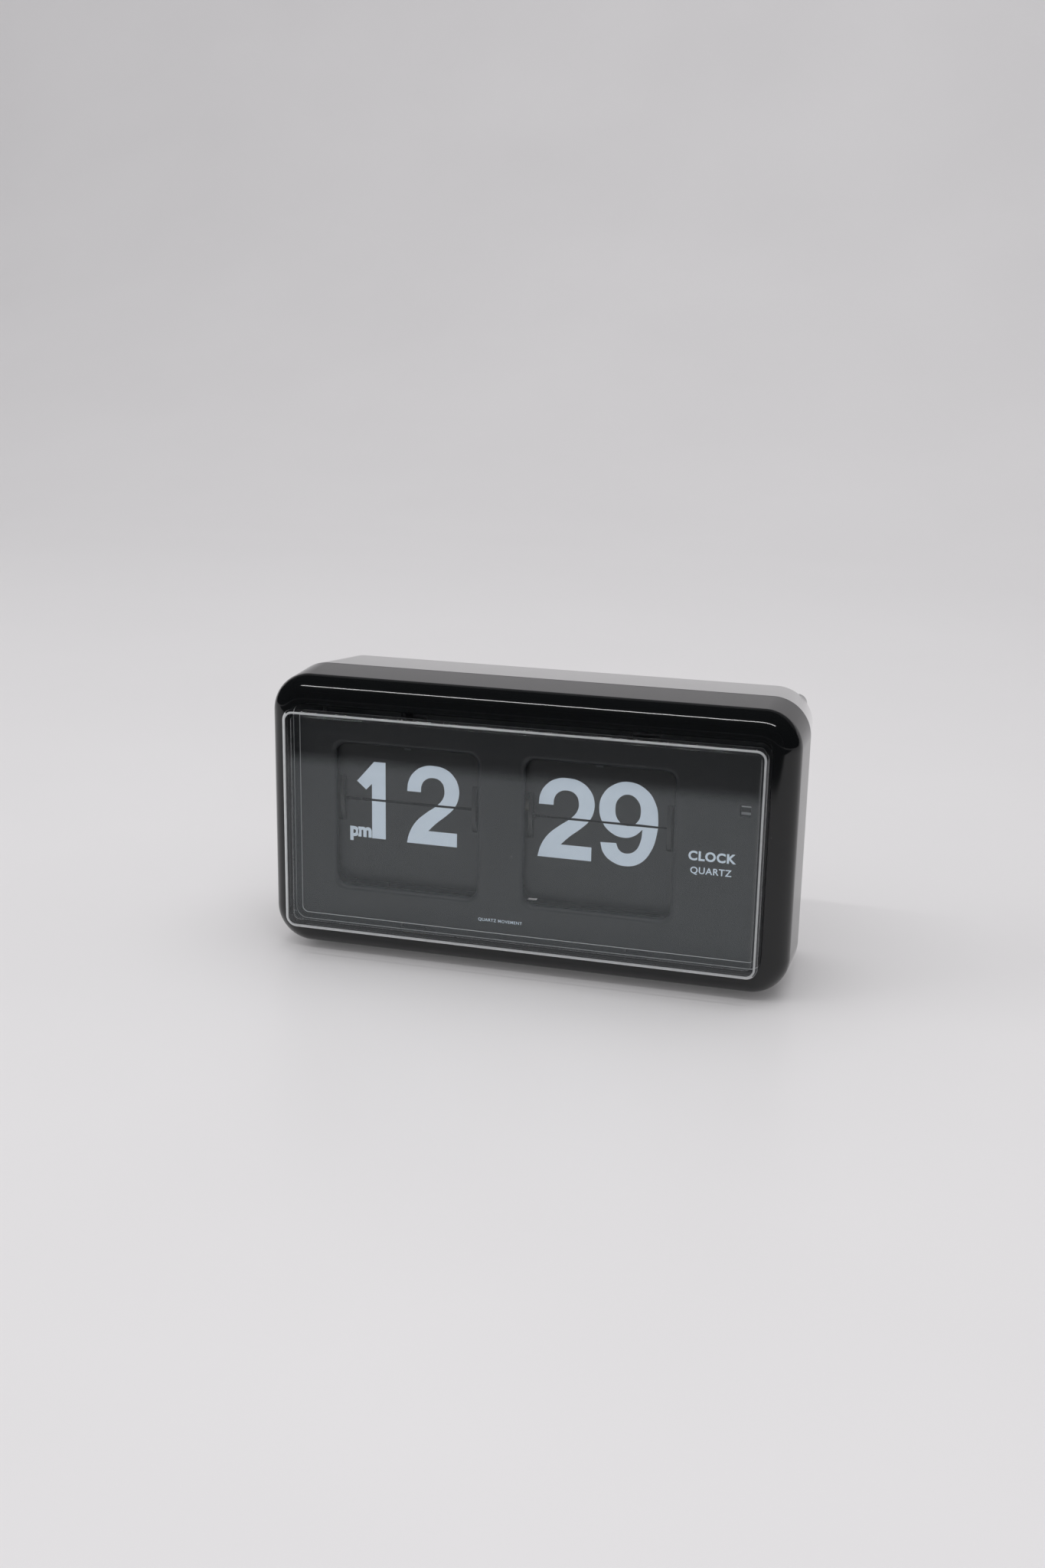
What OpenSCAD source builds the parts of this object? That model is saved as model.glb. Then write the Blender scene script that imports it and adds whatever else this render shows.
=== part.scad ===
// Flip number clock: a two-shell plastic case with a clear cover, two drums of
// hinged number leaves on one axle, a gear train between them and a battery movement.
// X runs to the right, Y from the front to the back, Z up. The origin is on the
// ground, under the middle of the clock.

/* [Case] */
// Width across the joint between the shells
case_w = 210; // [205:1:215]
// Height of the shells, without the feet
case_h = 112; // [110:1:116]
// Depth from the clear cover to the back face
case_d = 75; // [74:1:78]
// Corner radius of the shells at their joint
case_r = 14.8; // [12:0.1:16]
// Thickness of the shell walls
wall = 2.4; // [1.8:0.1:2.6]
// Depth of the joint between the shells, behind the cover
joint_d = 37.7; // [36:0.1:39]
// Lean of the front shell's sides, in degrees
front_draft = 1.5; // [1:0.1:2]
// Lean of the rear shell's sides, in degrees
rear_draft = 5.1; // [4:0.1:5.5]
// Height of the feet
foot_h = 1.8; // [1.5:0.1:2.5]

/* [Cover and dial] */
// Width of the clear cover
cover_w = 189; // [186:0.5:190]
// Height of the clear cover
cover_h = 89.1; // [87:0.1:90]
// Thickness of the cover's sides
cover_wall = 2.6; // [2:0.1:3]
// How far the cover stands out of the case
cover_out = 9.2; // [9:0.1:9.6]
// Depth of the dial's front face, behind the cover's face
dial_d = 12.6; // [12.4:0.1:12.8]
// Side of the number windows
window_w = 58.4; // [57:0.1:59]
// Height of the number windows
window_h = 58.5; // [57:0.1:59]

/* [Drums] */
// Radius at which the leaves hinge
hinge_r = 13.8; // [13.6:0.1:14]
// Radius of the drum discs
disc_r = 15.8; // [15.6:0.1:15.8]
// Length of one number leaf
leaf_h = 24; // [23:0.5:24]
// Width of one number leaf
leaf_w = 59.6; // [59:0.1:59.6]
// Minute leaves on the right-hand drum
minute_count = 60; // [60]
// Hour leaves on the left-hand drum
hour_count = 48; // [48]

/* [Hidden] */

$fn = 48;
corner_fn = 48;          // facets round a full turn of a shell corner

// --- places along Y, from the front of the cover backwards
wheel_out = 5;           // how far the setting wheel stands out of the back
front_y = -(case_d + wheel_out) / 2;
bezel_y = front_y + cover_out;
dial_y = front_y + dial_d;
dial_t = 2;
leaf_y = dial_y + dial_t + 2;
axis_y = leaf_y + hinge_r;
joint_y = front_y + joint_d;
back_y = front_y + case_d;

// --- places along Z
mid_z = foot_h + case_h / 2;
axis_z = mid_z + 6.5;    // the split between the leaves
window_z = mid_z + 0.2;

// --- places along X
hour_x = -48;
minute_x = 29.3;
disc_off = 27.2;         // from a drum's middle to its discs
disc_t = 1.6;

// --- shells
bezel_r = 9;             // roll of the front edge
back_r = 4;              // rounding of the back edge
lip = 0.15;              // gap round the cover in its opening

// --- drum parts
axle_r = 1.5;
hub_gap = 0.05;          // running clearance on a radius
hub_r = 2.5;
leaf_t = 0.14;
pin_r = 0.25;
pin_out = 1.2;
hole_r = 0.36;
notch_h = 8.4;           // length of the narrow, hinged end of a leaf
notch_w = 52.2;          // width of that end
first_step = 0.5;        // the top leaf stands half a step above the axle's height
retainer_w = 2.6;

// --- frame plates
plate_t = 1.6;
left_x = -83;
middle_x = -7.5;
right_x = 63;
rod_r = 2;
rods = [[axis_y - 9.9, axis_z + 36.2], [axis_y + 25.6, axis_z + 34.7],
    [axis_y - 9.9, axis_z - 39.3], [axis_y + 13.6, axis_z - 40.3]];
nut_r = 3.6;
nut_t = 2.2;

// --- gear train: module, teeth, and where each one stands
fine_m = 0.5;
first_m = 0.5;
second_m = 0.5;
gear_t = 2.2;
minute_teeth = 60;
output_teeth = 10;
idler_teeth = 40;
setting_teeth = 14;
pinion_teeth = 14;
transfer_teeth = 56;
small_teeth = 10;
hour_teeth = 60;
output_dir = 60;         // directions in the Y-Z plane, from +Y towards +Z
idler_dir = -10;
setting_dir = -21;
transfer_dir = -45;
function centre_distance(m, a, b) = m * (a + b) / 2;
function step_from(p, dir, r) = [p[0] + r * cos(dir), p[1] + r * sin(dir)];
axis_p = [axis_y, axis_z];
output_p = step_from(axis_p, output_dir, centre_distance(fine_m, minute_teeth, output_teeth));
idler_p = step_from(axis_p, idler_dir, centre_distance(fine_m, minute_teeth, idler_teeth));
setting_p = step_from(idler_p, setting_dir, centre_distance(fine_m, idler_teeth, setting_teeth));
transfer_p = step_from(axis_p, transfer_dir, centre_distance(first_m, pinion_teeth, transfer_teeth));
// turn that puts a gap of the second gear on a tooth of the first
function mesh_turn(dir, n1, turn1, n2) = dir + 180 - n1 / n2 * (turn1 - dir) + 180 / n2;
output_turn = mesh_turn(output_dir, minute_teeth, 0, output_teeth);
idler_turn = mesh_turn(idler_dir, minute_teeth, 0, idler_teeth);
setting_turn = mesh_turn(setting_dir, idler_teeth, idler_turn, setting_teeth);
transfer_turn = mesh_turn(transfer_dir, pinion_teeth, 0, transfer_teeth);
small_turn = mesh_turn(transfer_dir, hour_teeth, 0, small_teeth);
minute_gear_x = 60.2;
first_x = -12;
second_x = -17;
stud_r = 1.25;

// --- movement
move_x = 66.6;
move_t = 13.4;
move_y0 = front_y + 18;
move_y1 = front_y + 51;
move_z0 = mid_z - 26;
move_z1 = mid_z + 34;
move_wall = 1.4;
screw_rows = [move_z0 + 4, move_z1 - 4];
seconds_x = 83.4;
seconds_w = 3.6;
seconds_r = 10;
seconds_y = dial_y + dial_t + seconds_r + 0.8;
seconds_z = mid_z + 17.1;
slot_x = 85.2;           // middle of the small window in front of the seconds wheel
slot_s = 4.3;

// --- setting wheel
wheel_x = 68;
wheel_t = 8;
wheel_r = back_y + wheel_out - setting_p[0];
shaft_r = 2;

// --- battery
cell_r = 13.1;
cell_len = 46;
cell_y = back_y - 15.7;
cell_z = foot_h + 20.2;
cell_x = -64;            // left-hand end of the cell
door_w = 62;
door_h = 30;
door_x = cell_x + cell_len / 2;
door_z0 = foot_h + 8;
door_t = 2;

// --- screws
screw_x = case_w / 2 - 9.7;
screw_dz = case_h / 2 - 9.7;
screw_r = 1.5;
screw_hole_r = 1.56;
screw_head_r = 3.1;
boss_r = 4;
boss_y = bezel_y + bezel_r + 0.5;

// --- feet
foot_x = 80;
front_foot_y = joint_y - 9;
rear_foot_y = back_y - 13;

// ---------------------------------------------------------------- helpers
// lays a Y-Z outline down and pulls it out along +X from x
module along_x(x, t) { translate([x, 0, 0]) rotate([90, 0, 90]) linear_extrude(t) children(); }
// lays an X-Z outline down and pulls it out along +Y from y
module along_y(y, t) { translate([0, y + t, 0]) rotate([90, 0, 0]) linear_extrude(t) children(); }
module rod_x(x, t, p, r) { translate([x, p[0], p[1]]) rotate([0, 90, 0]) cylinder(r = r, h = t); }
module rod_y(y, t, x, z, r) { translate([x, y, z]) rotate([-90, 0, 0]) cylinder(r = r, h = t); }

module round_rect(w, h, r) {
    square([w - 2 * r, h], center = true);
    square([w, h - 2 * r], center = true);
    for (sx = [-1, 1], sz = [-1, 1]) translate([sx * (w / 2 - r), sz * (h / 2 - r)]) circle(r);
}

// one corner of a shell: profile points are [distance out from the corner's middle, y]
module corner(points, x, z) {
    translate([x, 0, z]) rotate([-90, 0, 0]) rotate_extrude($fn = corner_fn) polygon(points);
}
module corners(points, w, h, r) {
    hull() for (sx = [-1, 1], sz = [-1, 1])
        corner(points, sx * (w / 2 - r), mid_z + sz * (h / 2 - r));
}
// an arc of profile points about [cx, cy], from angle a0 to a1
function arc(cx, cy, r, a0, a1, n) =
    [for (i = [0:n]) [cx + r * cos(a0 + (a1 - a0) * i / n), cy + r * sin(a0 + (a1 - a0) * i / n)]];

// ---------------------------------------------------------------- shells
// the front shell's solid outer form, drawn in by t
function front_profile(t) = let (
        lean = (joint_y - bezel_y) * tan(front_draft),
        r = bezel_r - t,
        out = case_r - lean - t)
    concat([[0, bezel_y + t]], arc(out - r, bezel_y + bezel_r, r, -90, 0, 9),
        [[case_r - t, joint_y], [0, joint_y]]);
function rear_profile(t) = let (
        lean = (back_y - joint_y) * tan(rear_draft),
        r = max(back_r - t, 1),
        out = case_r - lean - t)
    concat([[0, joint_y], [case_r - t, joint_y]],
        arc(out - r, back_y - t - r, r, 0, 90, 5), [[0, back_y - t]]);

module front_shell() color("#0b0d0f") difference() {
    union() {
        difference() {
            corners(front_profile(0), case_w, case_h, case_r);
            intersection() {
                corners(front_profile(wall), case_w, case_h, case_r);
                along_y(dial_y, case_d) translate([0, mid_z]) square([case_w, case_h], center = true);
            }
            along_y(joint_y - 0.5, 1) translate([0, mid_z])
                round_rect(case_w - 2 * wall, case_h - 2 * wall, case_r - wall);
        }
        for (sx = [-1, 1], sz = [-1, 1]) {
            rod_y(boss_y, joint_y - 0.2 - boss_y, sx * screw_x, mid_z + sz * screw_dz, boss_r);
            translate([sx * (screw_x + 4), (boss_y + joint_y) / 2, mid_z + sz * screw_dz])
                cube([8, joint_y - 1 - boss_y, 1.6], center = true);
        }
        for (sx = [-1, 1]) translate([sx * foot_x, front_foot_y, foot_h]) cylinder(r = 5.5, h = 3);
    }
    along_y(front_y, dial_d + 1) translate([0, mid_z])
        round_rect(cover_w + 2 * lip, cover_h + 2 * lip, 4.6);
    for (sx = [-1, 1], sz = [-1, 1])
        rod_y(joint_y - 15, 16, sx * screw_x, mid_z + sz * screw_dz, screw_hole_r);
}

module rear_shell() color("#0d0e10") difference() {
    union() {
        difference() {
            corners(rear_profile(0), case_w, case_h, case_r);
            corners(rear_profile(wall), case_w, case_h, case_r);
        }
        for (sx = [-1, 1], sz = [-1, 1])
            rod_y(joint_y, back_y - 3.2 - joint_y, sx * screw_x, mid_z + sz * screw_dz, boss_r);
        for (sx = [-1, 1]) translate([sx * foot_x, rear_foot_y, foot_h]) cylinder(r = 5.5, h = 5);
    }
    for (sx = [-1, 1], sz = [-1, 1]) {
        rod_y(joint_y - 1, case_d, sx * screw_x, mid_z + sz * screw_dz, screw_hole_r);
        rod_y(back_y - 6, 8, sx * screw_x, mid_z + sz * screw_dz, screw_head_r + 0.25);
    }
    // battery opening
    along_y(back_y - 6, 8) translate([door_x, door_z0 + door_h / 2])
        square([door_w + 0.6, door_h + 0.6], center = true);
    // slot for the setting wheel
    along_y(back_y - 6, 8) translate([wheel_x + wheel_t / 2, setting_p[1]])
        square([wheel_t + 2.4, 24], center = true);
}

// ---------------------------------------------------------------- cover and dial
tab_x = [-44.5, 47];
module lens() color([0.85, 0.9, 0.95, 0.3]) {
    difference() {
        along_y(front_y, dial_d) translate([0, mid_z]) round_rect(cover_w, cover_h, 4.5);
        along_y(front_y + 2.2, dial_d) translate([0, mid_z])
            round_rect(cover_w - 2 * cover_wall, cover_h - 2 * cover_wall, 2);
    }
    for (x = tab_x, s = [-1, 1])
        along_y(dial_y, 4.2) translate([x, mid_z + s * (cover_h / 2 - 1.3)]) square([10, 1.6], center = true);
}

module dial_plate() color("#3b4043") difference() {
    along_y(dial_y, dial_t) translate([0, mid_z]) round_rect(196, 97, 6);
    for (x = [hour_x, minute_x])
        along_y(dial_y - 1, dial_t + 2) translate([x, window_z]) round_rect(window_w, window_h, 4.5);
    along_y(dial_y - 1, dial_t + 2) translate([slot_x, seconds_z]) square(slot_s, center = true);
    for (x = tab_x, s = [-1, 1])
        along_y(dial_y - 1, dial_t + 2) translate([x, mid_z + s * (cover_h / 2 - 1.3)])
            square([10.6, 2.2], center = true);
}

// ---------------------------------------------------------------- frame
module plate_outline(y0, y1, z0, z1) {
    r = 3;
    translate([(y0 + y1) / 2, (z0 + z1) / 2]) round_rect(y1 - y0, z1 - z0, r);
}
module frame_plate(x) {
    along_x(x, plate_t) difference() {
        plate_outline(dial_y + dial_t, axis_y + 30, axis_z - 44, axis_z + 40);
        for (p = rods) translate(p) circle(rod_r + 0.02);
        translate([axis_y + 27, axis_z - 44]) square([20, 62], center = true);
        children();
    }
}
module left_plate() color("#8d9196") frame_plate(left_x) translate(axis_p) circle(axle_r);
module middle_plate() color("#8d9196") frame_plate(middle_x) {
    translate(axis_p) circle(hub_r + 1);
    translate(transfer_p) circle(stud_r);
}
module right_plate() color("#8d9196") difference() {
    union() {
        frame_plate(right_x) {
            translate(axis_p) circle(axle_r);
            translate(output_p) circle(3.4);
            translate(idler_p) circle(stud_r);
            for (z = screw_rows) translate([move_y0 + 4, z]) circle(1.05);
        }
        along_x(right_x, plate_t) translate([setting_p[0] - 6, setting_p[1]]) square([18, 7], center = true);
    }
    along_x(right_x - 1, plate_t + 2) translate(setting_p) circle(shaft_r + hub_gap);
}
module tie_rods() color("#b9bcc0") for (p = rods) rod_x(left_x - 2.6, right_x - left_x + plate_t + 5.2, p, rod_r);
module frame_nuts() color("#c9a85a") for (p = rods, x = [left_x - nut_t, right_x + plate_t])
    along_x(x, nut_t) translate(p) difference() { circle(nut_r, $fn = 6); circle(rod_r + 0.01); }
module drum_axle() color("#c4c7ca") rod_x(left_x - 2.4, right_x - left_x + plate_t + 4.2, axis_p, axle_r);
module axle_clips() color("#5d6064") for (x = [left_x - 1.2, right_x + plate_t + 0.4])
    along_x(x, 0.8) translate(axis_p) difference() { circle(3.2); circle(axle_r); }

// ---------------------------------------------------------------- drums
module disc(x, count, step0) {
    along_x(x - disc_t / 2, disc_t) difference() {
        circle(disc_r);
        circle(hub_r);
        for (i = [0:count - 1]) rotate(180 - (step0 + i) * 360 / count)
            translate([hinge_r, 0]) circle(hole_r, $fn = 16);
        for (i = [0:5]) rotate(i * 60 + 12) translate([8, 0]) circle(2.3);
    }
}
module drum_disc(x, count) translate([0, axis_y, axis_z]) disc(x, count, first_step);
module hour_left_disc() color("#1b1d1f") drum_disc(hour_x - disc_off, hour_count);
module hour_right_disc() color("#1b1d1f") drum_disc(hour_x + disc_off, hour_count);
module minute_left_disc() color("#1b1d1f") drum_disc(minute_x - disc_off, minute_count);
module minute_right_disc() color("#1b1d1f") drum_disc(minute_x + disc_off, minute_count);

module hub(x0, x1) difference() {
    rod_x(x0, x1 - x0, axis_p, hub_r);
    rod_x(x0 - 1, x1 - x0 + 2, axis_p, axle_r + hub_gap);
}
module hour_hub() color("#d8d5cc") hub(hour_x - disc_off - 2.4, second_x + gear_t);
module minute_hub() color("#d8d5cc") hub(first_x, minute_gear_x + gear_t);

// ---------------------------------------------------------------- gears
function inv(a) = tan(a) * 180 / PI - a;
// half the angle of a tooth at radius r; the flank runs straight below the base circle
function half_tooth(m, n, r) = let (rp = m * n / 2, rb = rp * cos(20), q = max(r, rb))
    (90 / n) * 0.84 + inv(20) - inv(acos(min(1, rb / q)));
module gear_outline(m, n, turn) {
    rp = m * n / 2;
    root = rp - 1.15 * m;
    tip = rp + 0.85 * m;
    radii = [root, max(root + 0.05, rp * cos(20)), rp, tip];
    polygon([for (k = [0:n - 1], side = [-1, 1], i = [0:3])
        let (r = radii[side < 0 ? i : 3 - i], a = turn + k * 360 / n + side * half_tooth(m, n, r))
            [r * cos(a), r * sin(a)]]);
}
module gear(x, t, p, m, n, turn, bore) {
    along_x(x, t) translate(p) difference() {
        gear_outline(m, n, turn);
        circle(bore);
    }
}
module hour_gear() color("#e6e2d6") gear(second_x, gear_t, axis_p, second_m, hour_teeth, 0, hub_r);
module minute_gear() color("#e6e2d6") gear(minute_gear_x, gear_t, axis_p, fine_m, minute_teeth, 0, hub_r);
module minute_pinion() color("#e6e2d6") gear(first_x, gear_t, axis_p, first_m, pinion_teeth, 0, hub_r);
module transfer_gear() color("#d9c79a")
    gear(first_x, gear_t, transfer_p, first_m, transfer_teeth, transfer_turn, 2.2);
module transfer_pinion() color("#d9c79a") difference() {
    union() {
        gear(second_x, gear_t + 0.4, transfer_p, second_m, small_teeth, small_turn, 0.1);
        rod_x(second_x + gear_t + 0.4, first_x + gear_t - second_x - gear_t - 0.4, transfer_p, 2.2);
    }
    rod_x(second_x - 1, 12, transfer_p, stud_r + hub_gap);
}
module transfer_stud() color("#b9bcc0") {
    rod_x(second_x - 0.6, middle_x + plate_t - second_x + 0.6, transfer_p, stud_r);
    rod_x(second_x - 0.9, 0.6, transfer_p, 2);
}
module idler_gear() color("#d9c79a")
    gear(minute_gear_x, gear_t, idler_p, fine_m, idler_teeth, idler_turn, stud_r + hub_gap);
module idler_stud() color("#b9bcc0") {
    rod_x(minute_gear_x - 0.2, right_x + plate_t - minute_gear_x + 0.2, idler_p, stud_r);
    rod_x(minute_gear_x - 1, 0.8, idler_p, 2.2);
}

// ---------------------------------------------------------------- leaves
// direction of a leaf: 0 stands up, 180 hangs down; a is the hinge's angle over the front
function leaf_lean(a) = a >= 270 ? 180 : 180 * pow(max(a - 6, 0) / 264, 1.15);
module leaf(x, a, lean) {
    translate([x, axis_y - hinge_r * cos(a), axis_z + hinge_r * sin(a)]) rotate([-lean, 0, 0]) {
        translate([0, leaf_t / 2, 0]) rotate([90, 0, 0]) linear_extrude(leaf_t) polygon([
            [-notch_w / 2 - 0.1, -0.3], [notch_w / 2 + 0.1, -0.3], [notch_w / 2 + 0.1, 0.3], [notch_w / 2, 0.3],
            [notch_w / 2, notch_h], [leaf_w / 2, notch_h], [leaf_w / 2, leaf_h], [-leaf_w / 2, leaf_h],
            [-leaf_w / 2, notch_h], [-notch_w / 2, notch_h], [-notch_w / 2, 0.3], [-notch_w / 2 - 0.1, 0.3]]);
        for (s = [-1, 1]) translate([s * (notch_w / 2 + pin_out / 2), 0, 0]) rotate([0, 90, 0])
            cylinder(r = pin_r, h = pin_out, center = true, $fn = 16);
    }
}
module leaf_stack(x, count) {
    step = 360 / count;
    for (i = [1:count - 1]) let (a = (i + first_step) * step) leaf(x, a, leaf_lean(a));
}
module hour_leaves() color("#2e3236") leaf_stack(hour_x, hour_count);
module minute_leaves() color("#2e3236") leaf_stack(minute_x, minute_count);
module hour_front_leaf() color("#34383c") leaf(hour_x, first_step * 360 / hour_count, 0);
module minute_front_leaf() color("#34383c") leaf(minute_x, first_step * 360 / minute_count, 0);

// a strip spring that holds the top of the front leaf until it is released
module retainer(x) {
    top = rods[0];
    along_x(x - retainer_w / 2, retainer_w) difference() {
        union() {
            translate(top) circle(rod_r + 0.5);
            polygon([[top[0] - 2.2, top[1] - 1], [top[0] - 1.4, top[1] - 1.6],
                [leaf_y - 0.35, window_z + window_h / 2 + 1.6], [leaf_y - 0.35, window_z + window_h / 2 - 1.2],
                [leaf_y - 0.75, window_z + window_h / 2 - 1.2], [leaf_y - 0.75, window_z + window_h / 2 + 1.8]]);
        }
        translate(top) circle(rod_r + 0.01);
    }
}
module hour_retainer() color("#17191b") retainer(hour_x - 0.4);
module minute_retainer() color("#17191b") retainer(minute_x - 0.6);

// ---------------------------------------------------------------- movement
module movement_outline(t) translate([(move_y0 + move_y1) / 2, (move_z0 + move_z1) / 2])
    round_rect(move_y1 - move_y0 - 2 * t, move_z1 - move_z0 - 2 * t, 3 - min(t, 1.5));
module movement_case() color("#202428") difference() {
    union() {
        along_x(move_x, move_t - move_wall) movement_outline(0);
        for (z = screw_rows) rod_x(right_x + plate_t, move_x - right_x - plate_t, [move_y0 + 4, z], 2.4);
    }
    along_x(move_x + move_wall, move_t) movement_outline(move_wall);
    for (z = screw_rows) rod_x(right_x + plate_t - 1, 6, [move_y0 + 4, z], 1.05);
    rod_x(move_x - 1, 4, output_p, 1.6);
}
module movement_cover() color("#2a2f34") difference() {
    along_x(move_x + move_t - move_wall, move_wall) movement_outline(0);
    rod_x(move_x, 20, [seconds_y, seconds_z], 1.2 + hub_gap);
}
module circuit_board() color("#2f6b45")
    along_x(move_x + move_wall, 1.2) translate([move_y0 + 12, move_z0 + 17]) square([18, 26], center = true);
module quartz_crystal() color("#c9ccd0")
    translate([move_x + 4.1, move_y0 + 8, move_z0 + 10]) cylinder(r = 1.5, h = 8);
module motor_core() color("#9a9da1") difference() {
    along_x(move_x + 3.6, 2) translate([move_y0 + 20, move_z0 + 22]) square([12, 30], center = true);
    along_x(move_x + 3, 4) translate([move_y0 + 20, move_z0 + 22]) square([6, 20], center = true);
}
module motor_coil() color("#b4632c") difference() {
    rod_z(move_x + 4.6, move_y0 + 24.5, move_z0 + 14, 16, 3.1);
    translate([move_x + 3.5, move_y0 + 22.9, move_z0 + 10]) cube([2.2, 3.2, 24]);
}
module rod_z(x, y, z, h, r) translate([x, y, z]) cylinder(r = r, h = h);
module output_pinion() color("#d9c79a") {
    gear(minute_gear_x, gear_t, output_p, fine_m, output_teeth, output_turn, 0.6);
    rod_x(minute_gear_x, move_x + 5 - minute_gear_x, output_p, 0.6);
    rod_x(minute_gear_x + gear_t, move_x + 5 - minute_gear_x - gear_t, output_p, 1.5);
}
module seconds_wheel() color("#25282b") {
    difference() {
        rod_x(seconds_x, seconds_w, [seconds_y, seconds_z], seconds_r);
        rod_x(seconds_x + 1.2, seconds_w, [seconds_y, seconds_z], seconds_r - 1.2);
    }
    rod_x(move_x + 6, seconds_x + seconds_w - move_x - 6, [seconds_y, seconds_z], 1.2);
}
module movement_screws() color("#b9bcc0") for (z = screw_rows) {
    rod_x(right_x - 0.01, 5, [move_y0 + 4, z], 1);
    rod_x(right_x - 1.2, 1.2, [move_y0 + 4, z], 2);
}

// ---------------------------------------------------------------- setting wheel
module setting_pinion() color("#d9c79a")
    gear(minute_gear_x, gear_t, setting_p, fine_m, setting_teeth, setting_turn, shaft_r);
module setting_shaft() color("#c4c7ca") rod_x(minute_gear_x - 0.6, wheel_x + wheel_t + 1 - minute_gear_x, setting_p, shaft_r);
module setting_wheel() color("#17191b") along_x(wheel_x, wheel_t) translate(setting_p) difference() {
    union() {
        circle(wheel_r - 0.5);
        for (i = [0:35]) rotate(i * 10) translate([wheel_r - 0.6, 0]) circle(0.6, $fn = 12);
    }
    circle(shaft_r);
}

// ---------------------------------------------------------------- battery
module battery_tray() color("#15171a") {
    along_x(cell_x - 3, cell_len + 4.6) translate([cell_y, cell_z]) intersection() {
        difference() { circle(cell_r + 1.2); circle(cell_r + 0.1); }
        translate([-cell_r - 2, -cell_r - 2]) square([back_y - door_t - 0.6 - cell_y + cell_r + 2, cell_r]);
    }
    for (x = [cell_x - 4.8, cell_x + cell_len + 2.3]) along_x(x, 1.2) translate([cell_y, cell_z])
        translate([-9, -cell_r]) square([18, 2 * cell_r - 4]);
    for (x = [cell_x - 3.8, cell_x + cell_len + 1.5]) along_x(x, 1) translate([cell_y, cell_z])
        translate([-9, -cell_r]) square([18, 3.4]);
}
module battery_cell() color("#c2a14d") {
    rod_x(cell_x, cell_len, [cell_y, cell_z], cell_r - 0.2);
    rod_x(cell_x + cell_len, 1.6, [cell_y, cell_z], 3);
}
module contact_positive() color("#c9ccd0")
    along_x(cell_x + cell_len + 1.7, 0.5) translate([cell_y, cell_z]) square([12, 16], center = true);
module contact_negative() color("#c9ccd0") {
    along_x(cell_x - 3.6, 0.5) translate([cell_y, cell_z]) square([14, 16], center = true);
    for (i = [0:3]) translate([cell_x - 2.8 + i * 0.75, cell_y, cell_z]) rotate([0, 90, 0])
        rotate_extrude() translate([5.4 - i * 0.5, 0]) circle(0.36, $fn = 16);
}
module battery_door() color("#101214") {
    along_y(back_y - door_t, door_t) translate([door_x, door_z0 + door_h / 2]) difference() {
        square([door_w, door_h], center = true);
        translate([0, door_h / 2 - 4]) square([14, 2], center = true);
    }
    for (x = [-20, 20]) translate([door_x + x - 3, back_y - door_t - 2.4, door_z0 + 0.4]) cube([6, 2.6, 1.6]);
}

// ---------------------------------------------------------------- feet and screws
module feet() color("#1a1b1c") for (sx = [-1, 1]) {
    for (y = [front_foot_y, rear_foot_y]) translate([sx * foot_x, y, 0]) cylinder(r = 5, h = foot_h);
}
module case_screws() color("#a8abaf") for (sx = [-1, 1], sz = [-1, 1]) {
    rod_y(joint_y - 13, back_y - 6 - joint_y + 13, sx * screw_x, mid_z + sz * screw_dz, screw_r);
    rod_y(back_y - 6, 2.2, sx * screw_x, mid_z + sz * screw_dz, screw_head_r);
}

front_shell();
rear_shell();
lens();
dial_plate();
left_plate();
middle_plate();
right_plate();
tie_rods();
frame_nuts();
drum_axle();
axle_clips();
hour_left_disc();
hour_right_disc();
hour_hub();
hour_gear();
minute_left_disc();
minute_right_disc();
minute_hub();
minute_pinion();
minute_gear();
transfer_gear();
transfer_pinion();
transfer_stud();
hour_leaves();
minute_leaves();
hour_front_leaf();
minute_front_leaf();
hour_retainer();
minute_retainer();
movement_case();
movement_cover();
circuit_board();
quartz_crystal();
motor_coil();
motor_core();
output_pinion();
seconds_wheel();
idler_gear();
idler_stud();
setting_shaft();
setting_pinion();
setting_wheel();
battery_tray();
battery_cell();
contact_positive();
contact_negative();
battery_door();
feet();
case_screws();
movement_screws();
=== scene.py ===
# %% [markdown]
# A flip number clock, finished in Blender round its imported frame.
# The frame holds every part at its true size and place, so each new piece takes its place from it.
# Sizes are written in millimetres and turned to metres, because a case like this is drawn in millimetres.
# %% Load the frame
import math
import bmesh
import bpy
from mathutils import Matrix, Vector


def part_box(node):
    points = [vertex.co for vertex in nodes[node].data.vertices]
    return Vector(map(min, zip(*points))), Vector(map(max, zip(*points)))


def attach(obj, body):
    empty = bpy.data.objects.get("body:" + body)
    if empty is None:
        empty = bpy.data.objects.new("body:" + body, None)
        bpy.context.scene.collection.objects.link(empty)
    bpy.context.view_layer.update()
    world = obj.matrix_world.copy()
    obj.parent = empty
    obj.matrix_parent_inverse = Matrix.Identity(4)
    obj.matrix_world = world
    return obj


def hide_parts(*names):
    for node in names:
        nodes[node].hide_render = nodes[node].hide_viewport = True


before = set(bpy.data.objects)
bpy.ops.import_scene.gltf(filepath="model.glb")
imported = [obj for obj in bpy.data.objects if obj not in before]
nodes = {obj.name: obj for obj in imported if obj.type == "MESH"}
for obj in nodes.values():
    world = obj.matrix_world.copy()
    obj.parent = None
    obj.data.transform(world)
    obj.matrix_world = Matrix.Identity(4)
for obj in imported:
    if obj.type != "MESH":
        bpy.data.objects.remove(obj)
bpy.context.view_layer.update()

MM = 0.001

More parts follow.
